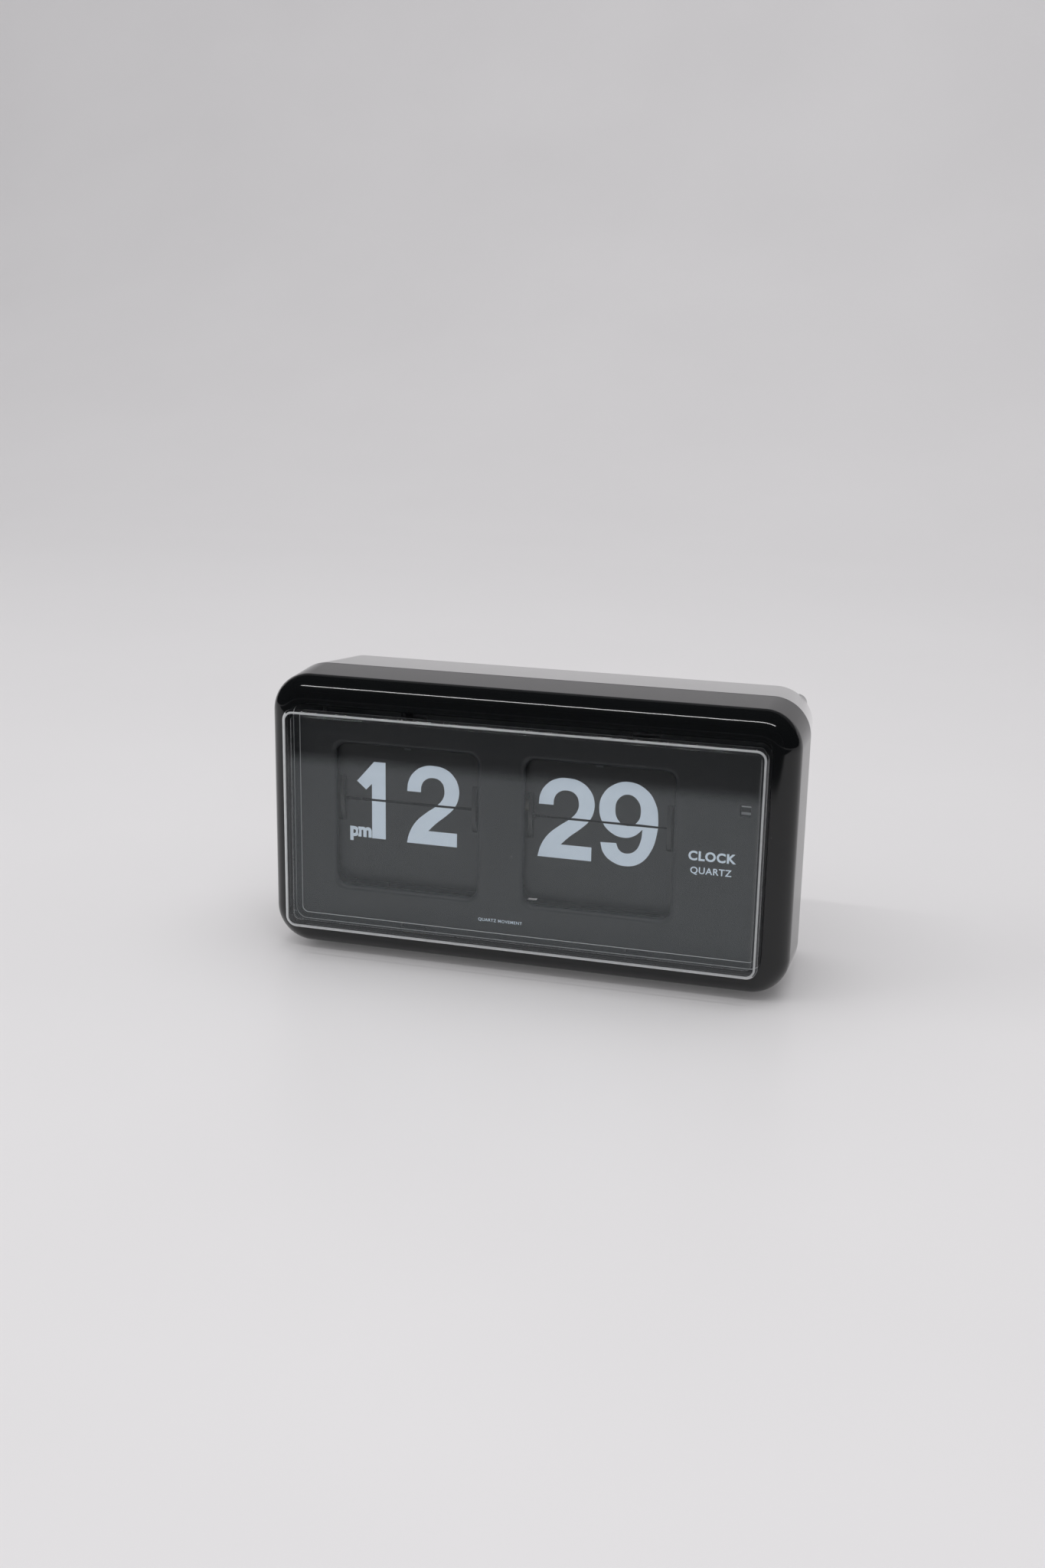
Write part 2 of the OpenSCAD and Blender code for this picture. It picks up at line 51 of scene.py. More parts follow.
# %% [markdown]
# The camera stands to the right of the clock and a little above it, about 0.7 m away.
# It could be aimed with a Track To constraint, but a matrix keeps the slight roll of a hand-held view.
# %% Camera
azimuth, pitch, roll = math.radians(15.479), math.radians(15.404), math.radians(1.060)
forward = Vector((-math.sin(azimuth) * math.cos(pitch), math.cos(azimuth) * math.cos(pitch), -math.sin(pitch)))
right = Vector((math.cos(azimuth), math.sin(azimuth), 0))
above = right.cross(forward)
tilted_right = right * math.cos(roll) + above * math.sin(roll)
tilted_up = above * math.cos(roll) - right * math.sin(roll)
turn = Matrix((tilted_right, tilted_up, -forward)).transposed().to_4x4()
bpy.ops.object.camera_add()
camera = bpy.context.object
camera.name = "camera"
camera.matrix_world = Matrix.Translation((0.1686, -0.63833, 0.25226)) @ turn
camera.data.lens = 39.446
camera.data.sensor_width = 36
bpy.context.scene.camera = camera
print("camera lens:", camera.data.lens, "mm")

# %% [markdown]
# The clock stands on a pale sheet that runs up behind it in one sweep, so no edge shows.
# A cube would show a corner line; a plane whose back edge is extruded up, with the fold rounded by a bevel, doesn't.
# %% Small tools for mesh work
def put_down():
    if bpy.context.mode != "OBJECT":
        bpy.ops.object.mode_set(mode="OBJECT")
    bpy.ops.object.select_all(action="DESELECT")


def take(piece):
    put_down()
    piece.select_set(True)
    bpy.context.view_layer.objects.active = piece
    return piece


def choose(piece, kind, wanted):
    """Opens the piece in edit mode with only the wanted corners, edges or faces selected."""
    take(piece)
    bpy.ops.object.mode_set(mode="EDIT")
    bpy.ops.mesh.select_mode(type=kind)
    bpy.ops.mesh.select_all(action="DESELECT")
    mesh = bmesh.from_edit_mesh(piece.data)
    mesh.normal_update()
    parts = {"VERT": mesh.verts, "EDGE": mesh.edges, "FACE": mesh.faces}[kind]
    for part in parts:
        part.select = bool(wanted(part))
    mesh.select_flush_mode()
    bmesh.update_edit_mesh(piece.data)
    return sum(part.select for part in parts)


def settle(piece, name=None):
    """Back to object mode, with the piece's place moved into its mesh."""
    take(piece)
    bpy.ops.object.transform_apply(location=True, rotation=True, scale=True)
    if name:
        piece.name = piece.data.name = name
    return piece


def ends(edge):
    return edge.verts[0].co, edge.verts[1].co


def runs(edge, axis):
    a, b = ends(edge)
    return abs((b - a).normalized()[axis]) > 0.95


def lies(edge, axis, value, slack=0.02):
    """Both ends of the edge lie at this value in millimetres."""
    a, b = ends(edge)
    return abs(a[axis] - value * MM) < slack * MM and abs(b[axis] - value * MM) < slack * MM


# %% Sweep of pale paper
put_down()
bpy.ops.mesh.primitive_plane_add(size=1, location=(0, 0.35, 0))
sweep = bpy.context.object
sweep.scale = (7.0, 3.6, 1)
settle(sweep, "paper_sweep")
choose(sweep, "EDGE", lambda edge: min(end.y for end in ends(edge)) > 2)
bpy.ops.mesh.extrude_region_move(TRANSFORM_OT_translate={"value": (0, 0.5, 3.2)})
choose(sweep, "EDGE", lambda edge: runs(edge, 0) and abs(ends(edge)[0].z) < 0.001 and ends(edge)[0].y > 2)
bpy.ops.mesh.bevel(offset=1.1, segments=14, affect="EDGES")
put_down()
sweep.data.shade_smooth()
print("sweep faces:", len(sweep.data.polygons))


# %% [markdown]
# Each finish is a small node tree. Shader maths reads best as Python expressions, so a wrapper lets
# a socket be added, multiplied or compared, and one method makes any other node.
# %% Writing finishes
class Value:
    """A number that changes over the surface."""

    def __init__(self, finish, socket):
        self.finish, self.socket = finish, socket

    def maths(self, operation, first, second):
        return self.finish.node("ShaderNodeMath", {"operation": operation}, {0: first, 1: second})

    def __add__(self, other):
        return self.maths("ADD", self, other)

    def __radd__(self, other):
        return self.maths("ADD", other, self)

    def __sub__(self, other):
        return self.maths("SUBTRACT", self, other)

    def __rsub__(self, other):
        return self.maths("SUBTRACT", other, self)

    def __mul__(self, other):
        return self.maths("MULTIPLY", self, other)

    def __rmul__(self, other):
        return self.maths("MULTIPLY", other, self)

    def __pow__(self, other):
        return self.maths("POWER", self, other)

    def __gt__(self, other):
        return self.maths("GREATER_THAN", self, other)

    def __lt__(self, other):
        return self.maths("LESS_THAN", self, other)


class Finish:
    """A material on one Principled shader; constants are set on the shader's own sockets."""

    def __init__(self, name, **constants):
        self.material = bpy.data.materials.new(name)
        self.material.use_nodes = True
        self.tree = self.material.node_tree
        self.shader = self.tree.nodes["Principled BSDF"]
        for socket, value in constants.items():
            self.shader.inputs[socket.replace("_", " ")].default_value = value
        self.place = self.node("ShaderNodeTexCoord", output="Object")

    def node(self, kind, settings=None, sockets=None, output=0):
        made = self.tree.nodes.new(kind)
        for key, value in (settings or {}).items():
            setattr(made, key, value)
        for key, value in (sockets or {}).items():
            if isinstance(value, Value):
                self.tree.links.new(value.socket, made.inputs[key])
            else:
                made.inputs[key].default_value = value
        return Value(self, made.outputs[output])

    def noise(self, scale, detail=2.0, rough=0.5, stretch=None, output=0):
        return self.node("ShaderNodeTexNoise", sockets={
            "Vector": self.stretched(stretch) if stretch else self.place,
            "Scale": scale, "Detail": detail, "Roughness": rough}, output=output)

    def stretched(self, scale, move=(0, 0, 0), turn=(0, 0, 0)):
        return self.node("ShaderNodeMapping", sockets={
            "Vector": self.place, "Scale": scale, "Location": move, "Rotation": turn})

    def mix(self, share, first, second):
        def colour(value):
            return value if isinstance(value, Value) else (*value, 1)
        return self.node("ShaderNodeMix", {"data_type": "RGBA"},
                         {0: share, 6: colour(first), 7: colour(second)}, output=2)

    def specks(self, scale, size, rare):
        """Sparse round dust specks: 1 on a speck, 0 elsewhere."""
        cells = {"Vector": self.place, "Scale": scale}
        near = self.node("ShaderNodeTexVoronoi", sockets=cells, output="Distance") < size
        kept = self.node("ShaderNodeTexVoronoi", sockets=cells, output="Color") > rare
        return near * kept

    def bump(self, height, strength, distance):
        return self.node("ShaderNodeBump", sockets={
            "Height": height, "Strength": strength, "Distance": distance})

    def wire(self, **links):
        for socket, value in links.items():
            self.tree.links.new(value.socket, self.shader.inputs[socket.replace("_", " ")])
        return self.material


# %% [markdown]
# The paper is almost white and slightly satin. Very soft, broad mottling keeps it from looking computed. A weak painted
# glow lifts the soft shadows round the clock.
# %% Paper finish
# Painted light: the weak emission makes the paper glow a little, which lifts the shadows round the foot of the clock.
paper = Finish("satin_paper", IOR=1.45, Emission_Color=(1, 0.985, 0.99, 1), Emission_Strength=0.07)
mottle = paper.noise(3.5, 3)
paper.wire(Base_Color=paper.mix(mottle, (0.69, 0.68, 0.685), (0.76, 0.75, 0.755)),
           Roughness=0.26 + mottle * 0.14)
sweep.data.materials.append(paper.material)

# %% [markdown]
# The case is moulded in two halves of glossy black plastic that meet on a fine line.
# The front half is a box whose long edges are rounded, whose front edge is a deep roll, and whose front face is open.
# Bevels on a box give exactly that form, and the draft of the mould is made first by shrinking the front face.
# %% A box given by its corners
def box(name, low, high):
    put_down()
    low, high = Vector(low) * MM, Vector(high) * MM
    bpy.ops.mesh.primitive_cube_add(size=1, location=(low + high) / 2)
    piece = bpy.context.object
    piece.scale = high - low
    return settle(piece, name)


def rounded_box(name, low, high, radius, segments=8, axis=1):
    """A box whose edges along one axis are rounded."""
    piece = box(name, low, high)
    choose(piece, "EDGE", lambda edge: runs(edge, axis))
    bpy.ops.mesh.bevel(offset=radius * MM, segments=segments, affect="EDGES", clamp_overlap=False)
    put_down()
    return piece


def rod(name, radius, start, finish, x, z, sides=32):
    """A round bar along the depth of the clock."""
    put_down()
    bpy.ops.mesh.primitive_cylinder_add(
        vertices=sides, radius=radius * MM, depth=(finish - start) * MM, rotation=(math.pi / 2, 0, 0),
        location=(x * MM, (start + finish) / 2 * MM, z * MM))
    return settle(bpy.context.object, name)


def join_by(operation, piece, tools):
    for tool in tools:
        take(piece)
        step = piece.modifiers.new(operation.lower(), "BOOLEAN")
        step.operation, step.solver, step.object = operation, "EXACT", tool
        bpy.ops.object.modifier_apply(modifier=step.name)
        bpy.data.objects.remove(tool)
    return piece


def cut(piece, *tools):
    return join_by("DIFFERENCE", piece, tools)


def fuse(piece, *tools):
    return join_by("UNION", piece, tools)


def wall(piece, thickness):
    """Gives an open skin a wall on its inner side."""
    take(piece)
    step = piece.modifiers.new("wall", "SOLIDIFY")
    step.thickness, step.offset, step.use_even_offset = thickness * MM, -1, True
    bpy.ops.object.modifier_apply(modifier=step.name)
    return piece


def smooth(piece, angle=32):
    """Smooth shading below the angle; weighted normals keep the big flats truly flat beside their rolls."""
    take(piece)
    bpy.ops.object.shade_smooth_by_angle(angle=math.radians(angle))
    step = piece.modifiers.new("flats", "WEIGHTED_NORMAL")
    step.mode, step.weight, step.keep_sharp = "FACE_AREA", 100, True
    bpy.ops.object.modifier_apply(modifier=step.name)
    return piece


def mount(piece, body, slot_name, finish, *stands_for):
    """Puts the finished piece on its body in place of the parts that it stands for."""
    settle(piece)
    piece.data.materials.clear()
    piece.data.materials.append(finish.material)
    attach(piece, body)
    if stands_for:
        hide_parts(*stands_for)
    print(piece.name, "faces:", len(piece.data.polygons))
    return piece


# %% Front half of the case
case_low, case_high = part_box("front_shell")
half_width = case_high.x / MM
front_y, joint_y = case_low.y / MM, case_high.y / MM
floor_z, top_z = case_low.z / MM, case_high.z / MM
middle_z = (floor_z + top_z) / 2
print("front half: width", round(2 * half_width, 1), "height", round(top_z - floor_z, 1))
half_height = 56.0
corner_radius, case_wall = 14.8, 2.4
centre = Vector((0, 0, middle_z * MM))
front_shell = box("front_case", (-half_width, front_y, floor_z), (half_width, joint_y, top_z))
draft = (joint_y - front_y) * math.tan(math.radians(1.5))
choose(front_shell, "FACE", lambda face: face.normal.y < -0.9)
bpy.ops.transform.resize(value=(1 - draft / half_width, 1, 1 - draft / half_height), center_override=centre)
choose(front_shell, "EDGE", lambda edge: runs(edge, 1))
bpy.ops.mesh.bevel(offset=corner_radius * MM, segments=18, affect="EDGES", clamp_overlap=False)
choose(front_shell, "EDGE", lambda edge: lies(edge, 1, front_y))
bpy.ops.mesh.bevel(offset=9 * MM, segments=12, affect="EDGES", clamp_overlap=False)

# %% [markdown]
# The opening for the clear cover is an inset of the flat front face, drawn in to the cover's size.
# The inset face is pushed back to make the throat of the opening and then removed.
# %% Opening of the front half
choose(front_shell, "FACE", lambda face: face.normal.y < -0.999 and len(face.verts) > 8)
bpy.ops.mesh.inset(thickness=1.0 * MM)
flat = [v.co for v in bmesh.from_edit_mesh(front_shell.data).verts if v.select]
wide, high = max(v.x for v in flat) / MM, max(v.z for v in flat) / MM - middle_z
print("inset face half size:", round(wide, 2), round(high, 2))
bpy.ops.transform.resize(value=(94.65 / wide, 1, 44.7 / high), center_override=centre)
bpy.ops.mesh.inset(thickness=0.001 * MM)
bpy.ops.mesh.extrude_region_move(TRANSFORM_OT_translate={"value": (0, 3.4 * MM, 0)})
bpy.ops.mesh.delete(type="FACE")
choose(front_shell, "FACE", lambda face: face.normal.y > 0.99)
bpy.ops.mesh.delete(type="FACE")
put_down()


def on_outline(corner):
    """True on the outer outline of the joint, so the bevel there leaves the inner edge of the wall alone."""
    across, up = abs(corner.x) / MM, abs(corner.z / MM - middle_z)
    bend_x, bend_z = half_width - corner_radius, half_height - corner_radius
    past_bend = across > bend_x and up > bend_z
    round_part = math.hypot(across - bend_x, up - bend_z) - (corner_radius - 0.2) if past_bend else -9
    return max(across - half_width + 0.05, up - half_height + 0.05, round_part) > 0


wall(front_shell, case_wall)
choose(front_shell, "EDGE", lambda edge: lies(edge, 1, joint_y) and on_outline(ends(edge)[0]))
bpy.ops.mesh.bevel(offset=0.35 * MM, segments=2, affect="EDGES", clamp_overlap=False)
put_down()
smooth(front_shell, 40)
print("front half box:", [round(v / MM, 2) for v in front_shell.dimensions])

# %% [markdown]
# Gloss plastic reflects the room and hides its own colour. The colour is nearly black and the reflection does the work.
# What makes it real is a faint waviness of the skin, a haze of handling on the roughness, and a few specks of dust.
# %% Gloss black finish
def gloss_black(name, grain, coat):
    finish = Finish(name, IOR=1.5, Coat_Weight=coat, Coat_Roughness=0.03)
    dust = finish.specks(260, 0.045, 0.9)
    haze = finish.noise(22, 4)
    swirl = finish.noise(grain, 2)
    finish.wire(
        Base_Color=finish.mix(dust, (0.0042, 0.0048, 0.0052), (0.20, 0.20, 0.20)),
        Roughness=0.055 + haze * 0.05 + dust * 0.4,
        Normal=finish.bump(swirl, 0.02, 0.0004))
    return finish


front_black = gloss_black("gloss_black_front", 70, 0.0)
rear_black = gloss_black("gloss_black_rear", 60, 0.9)
mount(front_shell, "root", "black_gloss", front_black, "front_shell")

# %% [markdown]
# The rear half is a shallower tub. Its sides lean in to the back, and its back carries the screw recesses,
# the battery opening and the slot of the setting wheel. Recesses are cut with plain solids, like mould inserts.
# %% Rear half of the case
rear_low, rear_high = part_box("rear_shell")
back_y = rear_high.y / MM
rear_shell = box("rear_case", (-half_width, joint_y, floor_z), (half_width, back_y, top_z))
lean = (back_y - joint_y) * math.tan(math.radians(5.1))
choose(rear_shell, "FACE", lambda face: face.normal.y > 0.9)
bpy.ops.transform.resize(value=(1 - lean / half_width, 1, 1 - lean / half_height), center_override=centre)
choose(rear_shell, "EDGE", lambda edge: runs(edge, 1))
bpy.ops.mesh.bevel(offset=corner_radius * MM, segments=18, affect="EDGES", clamp_overlap=False)
choose(rear_shell, "EDGE", lambda edge: lies(edge, 1, back_y))
bpy.ops.mesh.bevel(offset=4 * MM, segments=8, affect="EDGES", clamp_overlap=False)
choose(rear_shell, "EDGE", lambda edge: lies(edge, 1, joint_y))
bpy.ops.mesh.bevel(offset=0.35 * MM, segments=2, affect="EDGES", clamp_overlap=False)
choose(rear_shell, "FACE", lambda face: face.normal.y < -0.99)
bpy.ops.mesh.delete(type="FACE")
put_down()
wall(rear_shell, case_wall)
print("rear half box:", [round(v / MM, 2) for v in rear_shell.dimensions])

# %% [markdown]
# Each of the four screws sits in a tube, the boss, that stands inside the half, with a recess for its head.
# Bosses are fused on first and recesses cut after, so one clean hole runs through both. The gap of the battery door
# and the wheel's slot are rounded boxes, because moulded openings never have sharp inner corners.
# %% Openings in the back
screw_x, screw_dz = half_width - 9.7, (top_z - floor_z) / 2 - 9.7
screw_places = [(sx * screw_x, middle_z + sz * screw_dz) for sx in (-1, 1) for sz in (-1, 1)]
fuse(rear_shell, *[rod("boss", 4.0, 10, back_y - 3.2, x, z) for x, z in screw_places])
cut(rear_shell, *[rod("recess", 3.35, 29, back_y + 2, x, z) for x, z in screw_places])
door_low, door_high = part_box("battery_door")
wheel_low, wheel_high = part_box("setting_wheel")
wheel_x, wheel_z = (wheel_low.x + wheel_high.x) / 2 / MM, (wheel_low.z + wheel_high.z) / 2 / MM
cut(rear_shell,
    rounded_box("door_gap", (door_low.x / MM - 0.3, 30, door_low.z / MM + 0.1 - 0.4),
                (door_high.x / MM + 0.3, back_y + 2, door_high.z / MM + 0.3), 1.2, 4),
    rounded_box("wheel_slot", (wheel_x - 5.2, 20, wheel_z - 12), (wheel_x + 5.2, back_y + 2, wheel_z + 12), 1.5, 5),
    rounded_box("wheel_dish", (wheel_x - 9, back_y - 0.8, wheel_z - 18),
                (wheel_x + 9, back_y + 2, wheel_z + 18), 5, 8))
smooth(rear_shell, 40)
mount(rear_shell, "root", "black_gloss", rear_black, "rear_shell")

# %% [markdown]
# The cover is one clear moulding like a shallow tray, standing proud of the case.
# It is a solid block with rounded edges, emptied from behind, so that its walls have their true thickness.
# A cut round the walls near the dial marks their foot, which carries a painted highlight and shows as a second outline
# inside the first.
# %% Clear cover
cover_low, cover_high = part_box("lens")
cover_front, dial_y = cover_low.y / MM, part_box("dial_plate")[0].y / MM
cover_x, cover_z = cover_high.x / MM, (cover_high.z - cover_low.z) / 2 / MM
cover = rounded_box("clear_cover", (-cover_x, cover_front, middle_z - cover_z),
                    (cover_x, dial_y, middle_z + cover_z), 4.5, 8)
choose(cover, "EDGE", lambda edge: lies(edge, 1, cover_front))
bpy.ops.mesh.bevel(offset=1.6 * MM, segments=6, affect="EDGES", clamp_overlap=False)
hollow = rounded_box("cover_hollow", (-cover_x + 2.6, cover_front + 2.2, middle_z - cover_z + 2.6),
                     (cover_x - 2.6, dial_y + 1, middle_z + cover_z - 2.6), 2.4, 6)
choose(hollow, "EDGE", lambda edge: lies(edge, 1, cover_front + 2.2))
bpy.ops.mesh.bevel(offset=0.9 * MM, segments=3, affect="EDGES", clamp_overlap=False)
cut(cover, hollow)
wall_foot = dial_y - 0.7
choose(cover, "FACE", lambda face: True)
bpy.ops.mesh.bisect(plane_co=(0, wall_foot * MM, 0), plane_no=(0, 1, 0))
put_down()
tabs = [(x, s) for x in (-44.5, 47) for s in (-1, 1)]
fuse(cover, *[box("tab", (x - 5, dial_y - 0.4, middle_z + s * (cover_z - 1.3) - 0.8),
                  (x + 5, dial_y + 4.2, middle_z + s * (cover_z - 1.3) + 0.8)) for x, s in tabs])
smooth(cover, 40)
print("cover faces:", len(cover.data.polygons))

# %% [markdown]
# Clear plastic is seen mostly by what it mirrors, and a mirror whose strength follows the angle shows that
# without the noise that bent light brings. Three finishes share the cover: the flat pane, the walls, which are seen
# aslant, and the rounded edges and the foot of the walls, which get a painted highlight: a pale white colour standing
# in for the light they gather inside the moulding.
# %% Clear finishes
def clear_sheet(name, least, most, sharpness, tint, rough):
    finish = Finish(name, Base_Color=(*tint, 1), Metallic=1.0)
    facing = finish.node("ShaderNodeLayerWeight", sockets={"Blend": 0.5}, output="Facing")
    dust = finish.specks(150, 0.028, 0.86)
    smear = finish.noise(9, 4)
    finish.wire(Alpha=least + most * facing ** sharpness + dust * 0.3,
                Roughness=rough + smear * 0.02 + dust * 0.5)
    return finish


pane = clear_sheet("clear_pane", 0.040, 0.95, 5, (0.90, 0.97, 1.0), 0.010)
side = clear_sheet("clear_wall", 0.060, 0.80, 3, (0.95, 0.98, 1.0), 0.030)
# Painted highlight: a pale white, fairly opaque colour stands in for the light that the rolled edges and the wall foot
# gather inside the moulding.
edge_painted_highlight = Finish("painted_highlight_edge", IOR=1.49)
edge_facing = edge_painted_highlight.node("ShaderNodeLayerWeight", sockets={"Blend": 0.5}, output="Facing")
edge_highlight_streaks = edge_painted_highlight.noise(500, 3)
edge_painted_highlight.wire(Base_Color=edge_painted_highlight.mix(edge_highlight_streaks, (0.74, 0.77, 0.78), (0.90, 0.92, 0.93)),
             Alpha=0.42 + 0.5 * edge_facing + edge_highlight_streaks * 0.1, Roughness=0.06 + edge_highlight_streaks * 0.08)
mount(cover, "root", "clear", pane, "lens")
cover.data.materials.append(side.material)
cover.data.materials.append(edge_painted_highlight.material)
counts = [0, 0, 0]
for face in cover.data.polygons:
    rolled_edge = face.center.y / MM < cover_front + 1.85 and face.normal.y > -0.995
    if abs(face.normal.y) > 0.99 and face.area > 0.005:
        kind = 0
    # The rolled front edge and the foot of the walls get the painted highlight.
    elif rolled_edge and (face.normal.x + face.normal.z < 0.05 or face.normal.y < -0.88):
        kind = 2
    elif wall_foot < face.center.y / MM < dial_y and abs(face.normal.y) < 0.5:
        kind = 2
    else:
        kind = 1
    face.material_index = kind
    counts[kind] += 1
print("pane, wall and edge faces:", counts)

# %% [markdown]
# The dial is a satin dark grey plate. Its two windows have softly rounded edges that catch the light at the bottom.
# Each window is cut with a plug whose front end flares out, which cuts the opening and its rounded edge at once.
# %% Dial plate
dial_low, dial_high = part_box("dial_plate")
hour_x, minute_x, window_z = -48.0, 29.3, middle_z + 0.2
dial = rounded_box("dial", (dial_low.x / MM, dial_y, dial_low.z / MM),
                   (dial_high.x / MM, dial_y + 2, dial_high.z / MM), 6, 8)


def window_plug(x):
    """A plug with a rounded flare at its front end."""
    half_window, flare = 29.2, 1.9
    plug = rounded_box("window_plug", (x - half_window, dial_y, window_z - 29.25),
                       (x + half_window, dial_y + 3, window_z + 29.25), 4.5, 8)
    choose(plug, "FACE", lambda face: face.normal.y < -0.99)
    bpy.ops.transform.translate(value=(0, flare * MM, 0))
    grown, depth = 0.0, flare
    for step in range(1, 7):
        angle = math.radians(15 * step)
        spread, now = flare * (1 - math.cos(angle)), flare * (1 - math.sin(angle))
        bpy.ops.mesh.extrude_region_move(TRANSFORM_OT_translate={"value": (0, (now - depth) * MM, 0)})
        ratio = (half_window + spread) / (half_window + grown)
        bpy.ops.transform.resize(value=(ratio, 1, ratio), center_override=(x * MM, 0, window_z * MM))
        grown, depth = spread, now
    bpy.ops.mesh.extrude_region_move(TRANSFORM_OT_translate={"value": (0, -1 * MM, 0)})
    put_down()
    return plug


slot_low, slot_high = (85.2 - 2.15, middle_z + 17.1 - 2.15), (85.2 + 2.15, middle_z + 17.1 + 2.15)
cut(dial, window_plug(hour_x), window_plug(minute_x),
    rounded_box("slot_plug", (slot_low[0], dial_y - 1, slot_low[1]),
                (slot_high[0], dial_y + 3, slot_high[1]), 0.3, 3),
    *[box("tab_plug", (x - 5.3, dial_y - 1, middle_z + s * (cover_z - 1.3) - 1.1),
          (x + 5.3, dial_y + 3, middle_z + s * (cover_z - 1.3) + 1.1)) for x, s in tabs])
smooth(dial, 30)
print("dial box:", [round(v / MM, 2) for v in dial.dimensions])


# %% [markdown]
# The dial, the leaves, the door and the wheel are dark plastic with a fine etched surface, which looks satin.
# One recipe serves all: a broad, weak change of colour, a little change of gloss, and a bump as fine as the etching.
# The bump on the dial is very weak, because a coarse one would show as grain behind the clear cover.
# %% Satin dark finishes
def satin(name, low, high, rough, grain, depth, tooth=0.25):
    finish = Finish(name, IOR=1.48)
    fine = finish.noise(grain, 2)
    broad = finish.noise(14, 3)
    finish.wire(Base_Color=finish.mix(broad, low, high), Roughness=rough + broad * 0.08 + fine * 0.03,
                Normal=finish.bump(fine, tooth, depth))
    return finish


dial_finish = satin("satin_dial", (0.0080, 0.0096, 0.0110), (0.0105, 0.0124, 0.0140), 0.36, 2600, 0.00004, 0.015)
mount(dial, "root", "dial", dial_finish, "dial_plate")

# %% [markdown]
# The numbers are printed on the leaves, half on one leaf and half on the next. Each figure is drawn once as a
# flat outline, turned into a mesh, and divided on the line between the leaves, so the halves always match.
# %% Outlines of the figures
# x from the middle of the window and z from the dividing line, in millimetres; "|" marks a sharp corner.
ONE = ["-14.5 15.6|", "-9.7 15.6|", "-9.7 -15.9|", "-15.45 -15.9|", "-15.45 6.5|", "-17.85 4.0|", "-21.7 7.3|"]
TWO = ["-0.7 5.0|", "-0.1 9.2", "2.3 13.1", "6.0 15.5", "10.4 16.1", "15.3 15.1", "18.8 12.2", "20.5 8.5", "20.6 4.3",
       "19.0 0.1", "15.6 -3.6", "11.6 -7.0", "8.1 -10.6|", "20.0 -10.6|", "20.0 -16.2|", "-0.8 -16.2|", "0.2 -12.2",
       "3.0 -7.2", "7.4 -3.1", "11.8 0.3", "14.2 3.4", "14.7 6.6", "13.4 9.9", "10.2 11.2", "6.9 10.2", "5.3 7.8", "5.0 5.0|"]
NINE = ["0.4 -8.0|", "1.7 -12.2", "5.4 -15.5", "11.0 -16.7", "16.3 -14.9", "20.2 -9.9", "22.2 -3.4", "22.6 3.0", "21.5 9.0",
        "17.6 14.4", "11.0 16.8", "4.8 15.1", "0.8 10.9", "-0.4 5.9", "0.8 0.4", "4.3 -3.7", "9.6 -5.4", "13.6 -4.3",
        "16.7 -1.5|", "16.0 -6.6", "14.1 -10.2", "11.0 -11.6", "8.1 -10.7", "6.6 -7.8|"]
NINE_HOLE = ["10.8 11.8", "14.4 9.9", "15.8 5.6", "14.5 1.2", "10.8 -0.6", "7.3 1.2", "5.9 5.8", "7.2 10.0"]
THREE = ["-0.5 -6.0|", "0.4 -11.4", "4.0 -15.3", "10.2 -16.8", "16.6 -15.4", "20.6 -11.4", "21.2 -6.0", "19.4 -1.9",
         "15.6 0.6|", "18.9 3.4", "19.9 7.6", "18.4 12.6", "14.8 15.6", "10.0 16.6", "4.6 15.4", "1.2 12.0", "0.2 7.4|",
         "5.6 7.4|", "6.9 10.6", "9.9 11.8", "13.2 10.7", "14.4 7.7", "13.2 4.4", "10.4 3.2", "7.9 3.1|", "7.9 -1.7|",
         "10.9 -1.9", "14.4 -3.6", "15.4 -6.6", "14.1 -10.4", "10.5 -11.8", "6.9 -10.4", "5.3 -6.0|"]
ZERO = ["11.1 16.7", "16.6 15.0", "20.8 9.6", "22.4 0", "20.8 -9.6", "16.6 -15.0", "11.1 -16.7", "5.6 -15.0", "1.4 -9.6",
        "-0.2 0", "1.4 9.6", "5.6 15.0"]
ZERO_HOLE = ["11.1 11.7", "14.5 9.7", "16.4 5.0", "16.8 0", "16.4 -5.0", "14.5 -9.7", "11.1 -11.7", "7.7 -9.7",
             "5.8 -5.0", "5.4 0", "5.8 5.0", "7.7 9.7"]


def outline(curve, points, shift=0.0, widen=1.0):
    """One closed outline; a point with a bar is a sharp corner and the others are smooth."""
    line = curve.splines.new("BEZIER")
    line.bezier_points.add(len(points) - 1)
    line.use_cyclic_u = True
    for knot, text in zip(line.bezier_points, points):
        x, z = (float(v) for v in text.rstrip("|").split())
        knot.co = ((x * widen + shift) * MM, z * MM, 0)
        kind = "VECTOR" if text.endswith("|") else "AUTO"
        knot.handle_left_type = knot.handle_right_type = kind


def figures(name, parts):
    """The figures as one flat mesh, drawn in the plane of the screen."""
    put_down()
    curve = bpy.data.curves.new(name, "CURVE")
    curve.dimensions, curve.fill_mode, curve.resolution_u = "2D", "BOTH", 5
    for points, shift, widen in parts:
        outline(curve, points, shift, widen)
    flat = bpy.data.objects.new(name, curve)
    bpy.context.collection.objects.link(flat)
    take(flat)
    bpy.ops.object.convert(target="MESH")
    return bpy.context.object


def lettering(name, words, size, spacing=1.0, bold=0.0):
    """A printed word, centred on its own middle."""
    put_down()
    bpy.ops.object.text_add()
    text = bpy.context.object
    text.data.body, text.data.size = words, size * MM
    text.data.align_x, text.data.align_y = "CENTER", "CENTER"
    text.data.space_character, text.data.offset = spacing, bold * MM
    text.data.resolution_u = 4
    bpy.ops.object.convert(target="MESH")
    made = bpy.context.object
    made.name = made.data.name = name
    return made


